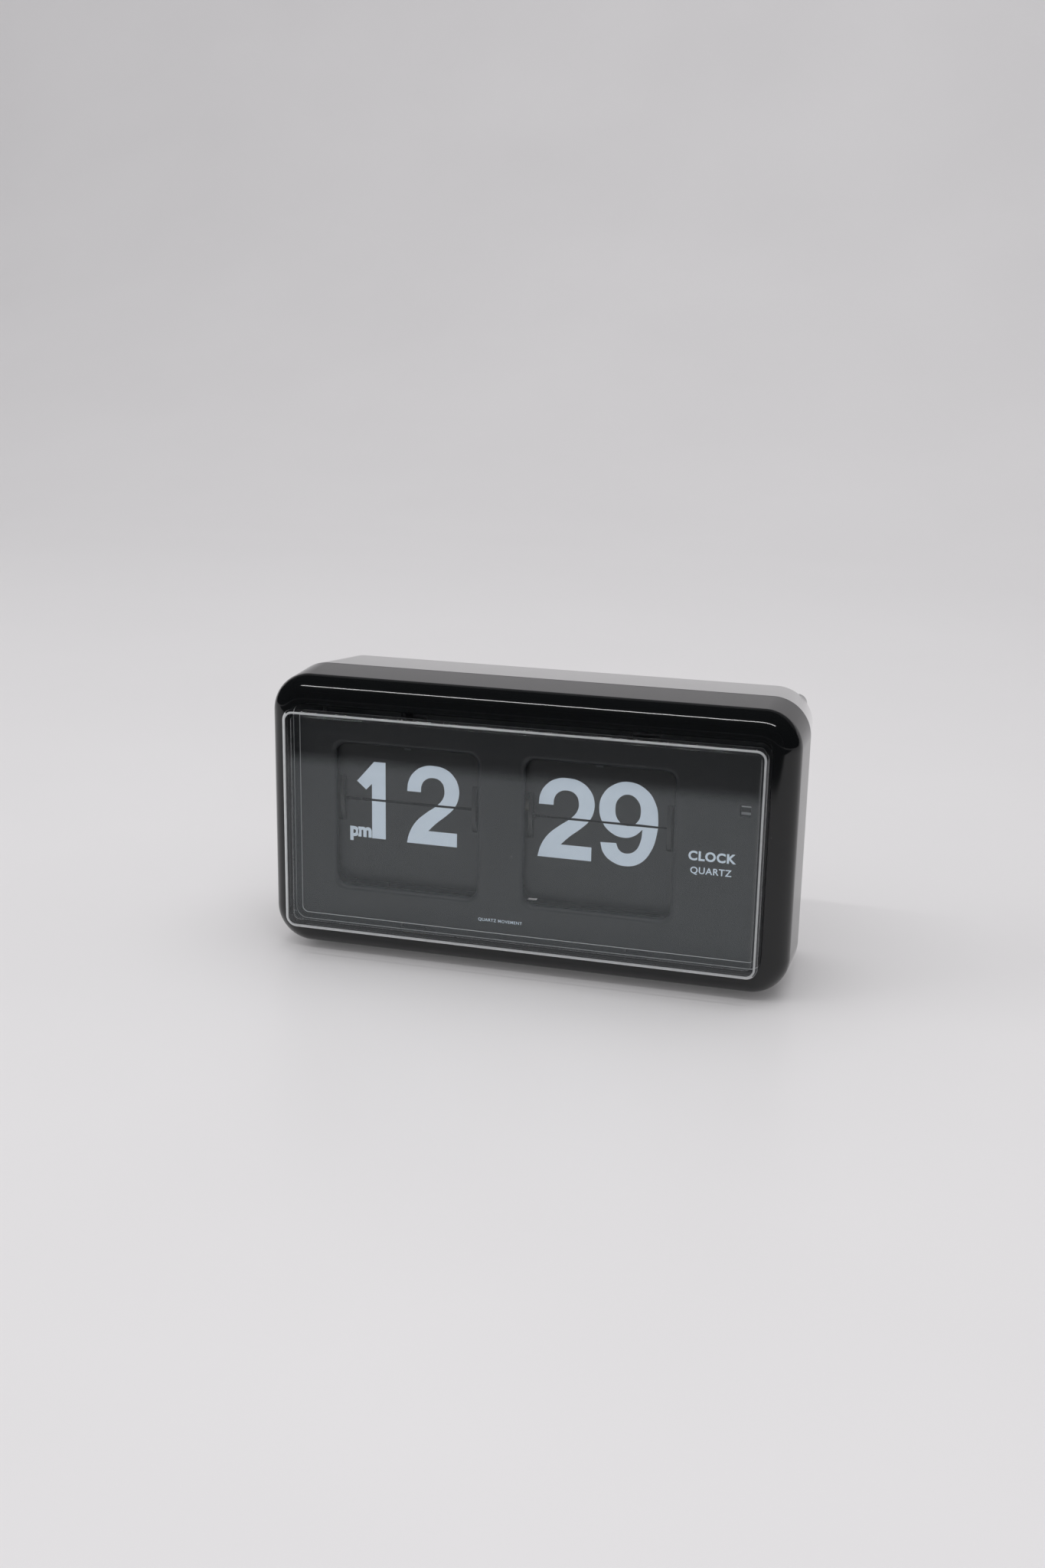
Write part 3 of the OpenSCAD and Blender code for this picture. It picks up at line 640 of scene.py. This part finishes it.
def stand(flat, x, y, z):
    """Stands a flat drawing upright, facing the front of the clock."""
    flat.rotation_euler = (math.pi / 2, 0, 0)
    flat.location = (x * MM, y * MM, z * MM)
    return settle(flat)


def keep_half(flat, height, upper):
    """Keeps what lies above or below a height."""
    take(flat)
    bpy.ops.object.mode_set(mode="EDIT")
    bpy.ops.mesh.select_all(action="SELECT")
    bpy.ops.mesh.bisect(plane_co=(0, 0, height * MM), plane_no=(0, 0, 1),
                        clear_inner=upper, clear_outer=not upper)
    put_down()
    return flat


# %% [markdown]
# Printed figures are a soft blue-white ink. A thin film is slightly uneven in colour and gloss, so both vary.
# %% Ink
ink = Finish("figure_ink", Roughness=0.5, IOR=1.45)
film = ink.noise(420, 3)
ink.wire(Base_Color=ink.mix(film, (0.60, 0.71, 0.81), (0.67, 0.775, 0.865)), Roughness=0.42 + film * 0.2)

# %% [markdown]
# The number is split on the line between the leaves: the upper half rides on the leaf that is up and will fall,
# the lower half lies on the leaf below. Both halves are cut from the same mesh, a hair in front of their leaf.
# %% Figures on the leaves
seam_z = middle_z + 6.5
axle_y, hinge_radius, half_leaf = -9.6, 13.8, 0.07
leaf_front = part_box("minute_front_leaf")[0].y / MM
hinge = {"hour": (-23.370, 65.203), "minute": (-23.381, 65.022)}
print("leaf front:", round(leaf_front, 3))
two_pair = (TWO, -23.6, 1.03)
shown = {
    "hour": [(ONE, 0, 1), (TWO, 0, 1)],
    "minute": [two_pair, (NINE, 0, 1), (NINE_HOLE, 0, 1)]}
coming = {
    "hour": [(ONE, 0, 1), (TWO, 0, 1)],
    "minute": [(THREE, -23.2, 1.0), (ZERO, 0.2, 1), (ZERO_HOLE, 0.2, 1)]}
centres = {"hour": hour_x, "minute": minute_x}
film_gap, seam_gap = 0.006, 0.45
for drum, x in centres.items():
    print_y = hinge[drum][0] - half_leaf - film_gap
    upper = keep_half(stand(figures(drum + "_figures_upper", shown[drum]), x, print_y, seam_z),
                      seam_z + seam_gap, True)
    mount(upper, drum + "_leaf", "leaf", ink)
    lower = keep_half(stand(figures(drum + "_figures_lower", shown[drum]), x, print_y, seam_z),
                      seam_z - seam_gap, False)
    mount(lower, "root", "leaf", ink)


def afternoon_mark(name):
    return stand(lettering(name, "pm", 7.7, 0.88, 0.36),
                 hour_x - 20.2, hinge["hour"][0] - half_leaf - film_gap, middle_z - 6.6)


mount(afternoon_mark("afternoon_mark"), "root", "leaf", ink)

# %% [markdown]
# Behind the leaf that is up stands the next one, and the back of the leaf that is up carries the next lower half.
# Both show as soon as the leaf falls, so they are printed as well, turned about the hinge.
# %% Figures that come next
def about(pivot, angle):
    """A turn by an angle about a hinge at this depth and height."""
    centre_line = Matrix.Translation((0, pivot[0] * MM, pivot[1] * MM))
    return centre_line @ Matrix.Rotation(angle, 4, "X") @ centre_line.inverted()


film_gap_next = 0.003
for drum, x in centres.items():
    half_step = {"hour": 3.75, "minute": 3.0}[drum]
    y, z = hinge[drum]
    below = keep_half(stand(figures(drum + "_next_lower", coming[drum]),
                            x, y - half_leaf - film_gap_next, seam_z), seam_z - seam_gap, False)
    if drum == "hour":
        mark = afternoon_mark("mark")
        take(mark)
        below.select_set(True)
        bpy.context.view_layer.objects.active = below
        bpy.ops.object.join()
    below.data.transform(Matrix.Translation((0, 0, 2 * (z - seam_z) * MM)))
    spin = about((y, z), math.pi)
    below.data.transform(spin @ Matrix.Translation((0, 0, (seam_z - z) * MM)))
    mount(below, drum + "_leaf", "leaf", ink)
    angle = half_step * 3
    pivot = (axle_y - hinge_radius * math.cos(math.radians(angle)),
             seam_z + hinge_radius * math.sin(math.radians(angle)))
    lean_back = math.radians(180 * ((angle - 6) / 264) ** 1.15)
    above_next = keep_half(stand(figures(drum + "_next_upper", coming[drum]),
                                 x, pivot[0] - half_leaf - film_gap_next, seam_z), pivot[1] - 0.25, True)
    above_next.data.transform(about(pivot, -lean_back))
    mount(above_next, "root", "leaf", ink)

# %% [markdown]
# A few small words are printed on the dial. Only general words are used, in a plain face.
# %% Words on the dial
for name, words, size, x, z, bold in (
        ("word_clock", "CLOCK", 5.0, 73.5, middle_z - 2.1, 0.18),
        ("word_quartz", "QUARTZ", 3.7, 73.4, middle_z - 7.75, 0.06),
        ("word_movement", "QUARTZ MOVEMENT", 1.75, -8.75, middle_z - 36.95, 0.02)):
    word = stand(lettering(name, words, size, 1.08, bold), x, dial_y - 0.008, z)
    mount(word, "root", "dial", ink)

# %% [markdown]
# Below come the small parts of the back and the underside. The battery door has grip ribs and a finger catch,
# the setting wheel has a rounded tread with a groove, the feet are soft pads, and the screws have cross slots.
# %% Battery door
door_base = door_low.z / MM + 0.4
door = rounded_box("battery_cover", (door_low.x / MM, 33, door_base),
                   (door_high.x / MM, back_y, door_high.z / MM), 1, 4)
door_x, door_top = (door_low.x + door_high.x) / 2 / MM, door_high.z / MM
choose(door, "EDGE", lambda edge: lies(edge, 1, back_y))
bpy.ops.mesh.bevel(offset=0.4 * MM, segments=3, affect="EDGES", clamp_overlap=False)
put_down()
cut(door,
    rounded_box("finger_notch", (door_x - 8, back_y - 1.3, door_top - 5.4),
                (door_x + 8, back_y + 1, door_top - 2.2), 1.4, 5),
    *[rounded_box("groove", (door_x - 11, back_y - 0.5, door_top - 8.2 - 2.2 * i),
                  (door_x + 11, back_y + 1, door_top - 7.2 - 2.2 * i), 0.45, 3) for i in range(5)])
fuse(door, *[box("foot_hook", (door_x + x - 3, 30.6, door_base), (door_x + x + 3, 33.4, door_base + 1.6))
             for x in (-20, 20)])
smooth(door, 30)
door_black = satin("satin_black_door", (0.0050, 0.0056, 0.0060), (0.0075, 0.0082, 0.0088), 0.30, 1900, 0.00008)
mount(door, "door", "black_matte", door_black, "battery_door")

# %% [markdown]
# The wheel that sets the time reaches through the back. It could be a gear shape drawn as a curve,
# but a fine cylinder whose rim faces are extruded inwards in turn gives its ribs with a few operators,
# and two insets on each side give the raised hub.
# %% Setting wheel
put_down()
wheel_radius = (wheel_high.z - wheel_low.z) / 2
wheel_y = (wheel_low.y + wheel_high.y) / 2
bpy.ops.mesh.primitive_cylinder_add(vertices=144, radius=wheel_radius, depth=wheel_high.x - wheel_low.x,
                                    rotation=(0, math.pi / 2, 0), location=(wheel_x * MM, wheel_y, wheel_z * MM))
wheel = settle(bpy.context.object, "thumb_wheel")
hub_place = Vector((wheel_x * MM, wheel_y, wheel_z * MM))
rib_pitch = 2.5  # degrees of one rim face


def tread(face):
    middle = face.calc_center_median()
    turn_now = round(math.degrees(math.atan2(middle.z - hub_place.z, middle.y - hub_place.y)) / rib_pitch - 0.5)
    return abs(face.normal.x) < 0.1 and turn_now % 4 < 2


choose(wheel, "FACE", tread)
bpy.ops.mesh.extrude_region_move(TRANSFORM_OT_translate={"value": (0, 0, 0)})
bpy.ops.transform.resize(value=(0.999, 0.945, 0.945), center_override=hub_place)
choose(wheel, "FACE", lambda face: abs(face.normal.x) > 0.9 and len(face.verts) > 40)
bpy.ops.mesh.inset(thickness=2.2 * MM)
bpy.ops.mesh.inset(thickness=0.4 * MM)
bpy.ops.transform.resize(value=(0.82, 1, 1), center_override=hub_place)
put_down()
smooth(wheel, 25)
wheel_black = satin("satin_black_wheel", (0.0060, 0.0066, 0.0070), (0.0095, 0.0102, 0.0108), 0.36, 2300, 0.00007)
mount(wheel, "setting", "black_matte", wheel_black, "setting_wheel")

# %% [markdown]
# Four soft discs carry the clock. A short cylinder with a rounded lower rim and a shallow sunk sole
# looks like a pressed pad, and the sunk sole leaves a ring that touches the floor.
# %% Rubber feet
foot_low, foot_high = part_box("feet")
foot_places = [(sx * 80, y) for sx in (-1, 1) for y in (foot_low.y / MM + 5, foot_high.y / MM - 5)]
feet = []
for x, y in foot_places:
    put_down()
    bpy.ops.mesh.primitive_cylinder_add(vertices=40, radius=5 * MM, depth=1.8 * MM,
                                        location=(x * MM, y * MM, 0.9 * MM))
    foot = settle(bpy.context.object, "foot")
    choose(foot, "EDGE", lambda edge: lies(edge, 2, 0))
    bpy.ops.mesh.bevel(offset=0.5 * MM, segments=4, affect="EDGES", clamp_overlap=False)
    choose(foot, "FACE", lambda face: face.normal.z < -0.99 and len(face.verts) > 20)
    bpy.ops.mesh.inset(thickness=1.1 * MM)
    bpy.ops.mesh.extrude_region_move(TRANSFORM_OT_translate={"value": (0, 0, 0.3 * MM)})
    put_down()
    feet.append(foot)
take(feet[0])
for foot in feet:
    foot.select_set(True)
bpy.ops.object.join()
soles = smooth(bpy.context.object, 40)
soles.name = soles.data.name = "rubber_feet"
rubber = satin("soft_rubber", (0.014, 0.014, 0.015), (0.024, 0.024, 0.025), 0.66, 1500, 0.00015)
mount(soles, "root", "rubber", rubber, "feet")

# %% [markdown]
# The screws hold the two halves together. A head with a rounded rim gets a cross slot from two thin boxes,
# and a shank is fused to it, so each screw is one closed solid.
# %% Case screws
screws = []
for x, z in screw_places:
    shank = rod("screw", 1.5, -15.3, 29.2, x, z, 20)
    head = rod("head", 3.1, 29, 31.2, x, z, 36)
    choose(head, "EDGE", lambda edge: lies(edge, 1, 31.2))
    bpy.ops.mesh.bevel(offset=0.7 * MM, segments=4, affect="EDGES", clamp_overlap=False)
    put_down()
    cut(head, box("cross", (x - 1.9, 30.2, z - 0.35), (x + 1.9, 32, z + 0.35)),
        box("cross", (x - 0.35, 30.2, z - 1.9), (x + 0.35, 32, z + 1.9)))
    screws.append(fuse(head, shank))
take(screws[0])
for screw in screws:
    screw.select_set(True)
bpy.ops.object.join()
case_screws = smooth(bpy.context.object, 30)
case_screws.name = case_screws.data.name = "cross_screws"


# %% [markdown]
# Metals differ by how they were worked. Drawn and turned steel shows fine lines along its length, stamped plate
# a faint rolled grain, and brass a warmer, slightly tarnished colour.
# %% Metal finishes
def metal(name, low, high, rough, stretch):
    finish = Finish(name, Metallic=1.0)
    lines = finish.noise(1200, 3, 0.6, stretch)
    cloud = finish.noise(45, 3)
    finish.wire(Base_Color=finish.mix(cloud, low, high), Roughness=rough + lines * 0.16 + cloud * 0.06,
                Normal=finish.bump(lines, 0.12, 0.00004))
    return finish


zinc = metal("zinc_screw", (0.50, 0.51, 0.53), (0.62, 0.63, 0.65), 0.24, (1, 0.05, 1))
mount(case_screws, "root", "steel", zinc, "case_screws")
rolled = metal("rolled_plate", (0.42, 0.43, 0.45), (0.55, 0.56, 0.58), 0.30, (1, 1, 0.04))
drawn = metal("drawn_steel", (0.52, 0.53, 0.55), (0.64, 0.65, 0.67), 0.20, (0.04, 1, 1))
brass = metal("turned_brass", (0.56, 0.38, 0.14), (0.72, 0.53, 0.24), 0.24, (0.2, 1, 1))
spring = metal("spring_strip", (0.060, 0.064, 0.068), (0.11, 0.115, 0.12), 0.34, (1, 1, 0.05))


# %% [markdown]
# Inside are gears in pale moulded resin, black drum discs, dark leaves, the movement in its box, and the cell.
# Each gets a finish of its own kind: resin a faint mottle, leaves a fine tooth, the wound coil its turns.
# %% Plastic and electrical finishes
def resin(name, low, high, rough):
    finish = Finish(name, IOR=1.48)
    flow = finish.noise(110, 4, 0.6)
    fine = finish.noise(1600, 2)
    finish.wire(Base_Color=finish.mix(flow, low, high), Roughness=rough + fine * 0.1,
                Normal=finish.bump(fine, 0.12, 0.00005))
    return finish


pale_resin = resin("pale_gear_resin", (0.72, 0.68, 0.57), (0.84, 0.81, 0.71), 0.36)
amber_resin = resin("amber_gear_resin", (0.60, 0.46, 0.22), (0.72, 0.58, 0.32), 0.36)
disc_black = resin("black_disc_resin", (0.0070, 0.0075, 0.0080), (0.0130, 0.0138, 0.0145), 0.40)
leaf_dark = satin("dark_leaf", (0.0085, 0.0100, 0.0112), (0.0115, 0.0132, 0.0146), 0.38, 2200, 0.00003, 0.06)
tray_black = resin("black_tray_resin", (0.0080, 0.0086, 0.0092), (0.0150, 0.0158, 0.0165), 0.46)
box_grey = resin("movement_box_resin", (0.020, 0.024, 0.029), (0.034, 0.039, 0.045), 0.44)

board = Finish("printed_board", Roughness=0.38)
tracks = board.node("ShaderNodeTexWave", {"wave_type": "BANDS", "bands_direction": "Z"},
                    {"Vector": board.place, "Scale": 210, "Distortion": 3.2, "Detail": 1.0}) > 0.62
board.wire(Base_Color=board.mix(tracks, (0.018, 0.115, 0.045), (0.050, 0.235, 0.105)),
           Normal=board.bump(tracks, 0.3, 0.00005))
winding = Finish("copper_winding", Metallic=1.0, Roughness=0.32)
turns = winding.node("ShaderNodeTexWave", {"wave_type": "BANDS", "bands_direction": "Z"},
                     {"Vector": winding.place, "Scale": 900, "Distortion": 0.4})
winding.wire(Base_Color=winding.mix(turns, (0.34, 0.12, 0.045), (0.82, 0.38, 0.17)),
             Normal=winding.bump(turns, 0.6, 0.0002))
cell = Finish("wrapped_cell", Metallic=0.55, Roughness=0.3)
along = cell.node("ShaderNodeSeparateXYZ", sockets={"Vector": cell.place}, output="X")
band = (along > -0.0500) * (along < -0.0260)
scuff = cell.noise(260, 4, 0.6)
cell.wire(Base_Color=cell.mix(band, (0.60, 0.44, 0.17), (0.020, 0.021, 0.024)), Roughness=0.22 + scuff * 0.22)
striped = Finish("indicator_drum", IOR=1.48)
height = striped.node("ShaderNodeSeparateXYZ", sockets={"Vector": striped.place}, output="Z")
stripes = striped.node("ShaderNodeMath", {"operation": "FRACT"}, {0: (height - 0.00065) * 333.0})
tooth = striped.noise(900, 2)
striped.wire(Base_Color=striped.mix((stripes < 0.36), (0.0085, 0.0095, 0.010), (0.70, 0.74, 0.76)),
             Roughness=0.4 + tooth * 0.15)

# %% [markdown]
# The parts inside are kept as they are and only get a finish each. A table says which finish each part wears,
# and the last line prints any part that the table forgot.
# %% Finishes on the carried-over parts
worn_by = {
    rolled: "left_plate middle_plate right_plate motor_core contact_positive contact_negative",
    drawn: "tie_rods drum_axle transfer_stud idler_stud setting_shaft axle_clips quartz_crystal",
    zinc: "movement_screws",
    brass: "frame_nuts",
    spring: "hour_retainer minute_retainer",
    pale_resin: "hour_hub minute_hub hour_gear minute_gear minute_pinion setting_pinion",
    amber_resin: "transfer_gear transfer_pinion idler_gear output_pinion",
    disc_black: "hour_left_disc hour_right_disc minute_left_disc minute_right_disc",
    leaf_dark: "hour_leaves minute_leaves hour_front_leaf minute_front_leaf",
    tray_black: "battery_tray",
    box_grey: "movement_case movement_cover",
    board: "circuit_board",
    winding: "motor_coil",
    cell: "battery_cell",
    striped: "seconds_wheel"}
dressed = set()
for finish, names in worn_by.items():
    for name in names.split():
        part = nodes[name]
        if not part.material_slots:
            part.data.materials.append(finish.material)
        for place in part.material_slots:
            place.material = finish.material
        dressed.add(name)
left_over = [name for name, part in nodes.items() if name not in dressed and not part.hide_render]
print("dressed:", len(dressed), "left over:", left_over)

# %% [markdown]
# Soft light comes from all round, as in a pale room, with a broad soft box above and a long narrow lamp in front.
# The narrow lamp draws the fine bright line along the front roll, and the soft box fills the top.
# %% Lights
def lamp(name, size, place, aim, power, colour=(1, 1, 1)):
    put_down()
    bpy.ops.object.light_add(type="AREA", location=place)
    light = bpy.context.object
    light.name = name
    light.data.shape, light.data.size, light.data.size_y = "RECTANGLE", size[0], size[1]
    light.data.energy, light.data.color = power, colour
    light.rotation_euler = (Vector(aim) - Vector(place)).to_track_quat("-Z", "Y").to_euler()
    return light


lamp("long_lamp", (1.5, 0.03), (-0.05, -0.70, 1.30), (0, 0, 0.1), 5.0)
for soft in (lamp("top_soft_box", (2.2, 1.6), (0.2, 0.3, 2.3), (0, 0, 0), 15.5),
             lamp("left_soft_box", (1.2, 1.4), (-1.9, -0.9, 1.3), (0, 0, 0.05), 10.0)):
    soft.visible_glossy = False
world = bpy.data.worlds.new("pale_room")
bpy.context.scene.world = world
world.use_nodes = True
world.node_tree.nodes["Background"].inputs["Color"].default_value = (0.97, 0.96, 0.985, 1)
world.node_tree.nodes["Background"].inputs["Strength"].default_value = 0.50
bpy.context.scene.view_settings.view_transform = "Standard"

# %% [markdown]
# The cover mirrors what lies in front of the clock. Far in front the room is darker, so the upper half of the cover
# stays clear while the lower half mirrors the pale paper. A dark card on the floor, outside the view and seen only in
# reflections, is painted shade that stands for it.
# %% Dark card in front
put_down()
bpy.ops.mesh.primitive_plane_add(size=1, location=(-0.2, -1.40, 0.0006))
card = bpy.context.object
card.scale = (3.0, 2.2, 1)
settle(card, "dark_card")
hidden_from = ("camera", "diffuse", "transmission", "shadow", "volume_scatter")
for ray in hidden_from:
    setattr(card, "visible_" + ray, False)
# Painted shade: a near-black sheet seen only in reflections, standing in for the darker room in front.
card_finish = Finish("card_painted_shade", Roughness=0.9)
card_shade_mottle = card_finish.noise(40, 3)
reach = card_finish.node("ShaderNodeSeparateXYZ", sockets={"Vector": card_finish.place}, output="Y")
fade = card_finish.node("ShaderNodeMapRange", {"interpolation_type": "SMOOTHSTEP"}, {
    "Value": reach, "From Min": -0.352, "From Max": -0.312, "To Min": 1.0, "To Max": 0.0})
card_finish.wire(Base_Color=card_finish.mix(card_shade_mottle, (0.012, 0.012, 0.013), (0.03, 0.03, 0.032)), Alpha=fade)
card.data.materials.append(card_finish.material)

# %% [markdown]
# A real room is dark behind the camera and overhead, and only the sheet and the floor are pale. Gloss shows that:
# the roll of the front stays black while the top mirrors the pale sheet. A tent that only reflections see does it, as
# painted shade.
# Its back is open low down, where the sheet is, and a paler grey above, a painted reflection which lifts the flat top
# of the front half a little.
# %% Dark tent for reflections
put_down()
bpy.ops.mesh.primitive_cube_add(size=1, location=(0, -0.7, 1.2))
tent = bpy.context.object
tent.scale = (6.0, 5.6, 2.4)
settle(tent, "dark_tent")
choose(tent, "FACE", lambda face: face.normal.z < -0.9)
bpy.ops.mesh.delete(type="FACE")
take(tent)
bpy.ops.object.mode_set(mode="EDIT")
bpy.ops.mesh.select_all(action="SELECT")
bpy.ops.mesh.bisect(plane_co=(0, 0, 1.05), plane_no=(0, 0, 1))
choose(tent, "FACE", lambda face: face.normal.y > 0.9 and face.calc_center_median().z < 1.05)
bpy.ops.mesh.delete(type="FACE")
put_down()
# Painted shade: the near-black tent, seen only in reflections, stands in for the dark room.
tent_finish = Finish("tent_painted_shade", Roughness=0.95)
tent_shade_mottle = tent_finish.noise(3, 3)
tent_finish.wire(Base_Color=tent_finish.mix(tent_shade_mottle, (0.014, 0.014, 0.015), (0.035, 0.035, 0.037)))
tent.data.materials.append(tent_finish.material)
# Painted reflection: the upper back of the tent is a paler grey, which lifts the reflection on the flat top of the
# front half.
dusk_finish = Finish("tent_painted_reflection", Roughness=0.95)
dusk_finish.wire(Base_Color=dusk_finish.mix(dusk_finish.noise(3, 3), (0.16, 0.16, 0.165), (0.22, 0.22, 0.225)))
tent.data.materials.append(dusk_finish.material)
for face in tent.data.polygons:
    face.material_index = int(face.normal.y > 0.9)
for ray in hidden_from:
    setattr(tent, "visible_" + ray, False)
print("tent faces:", len(tent.data.polygons))
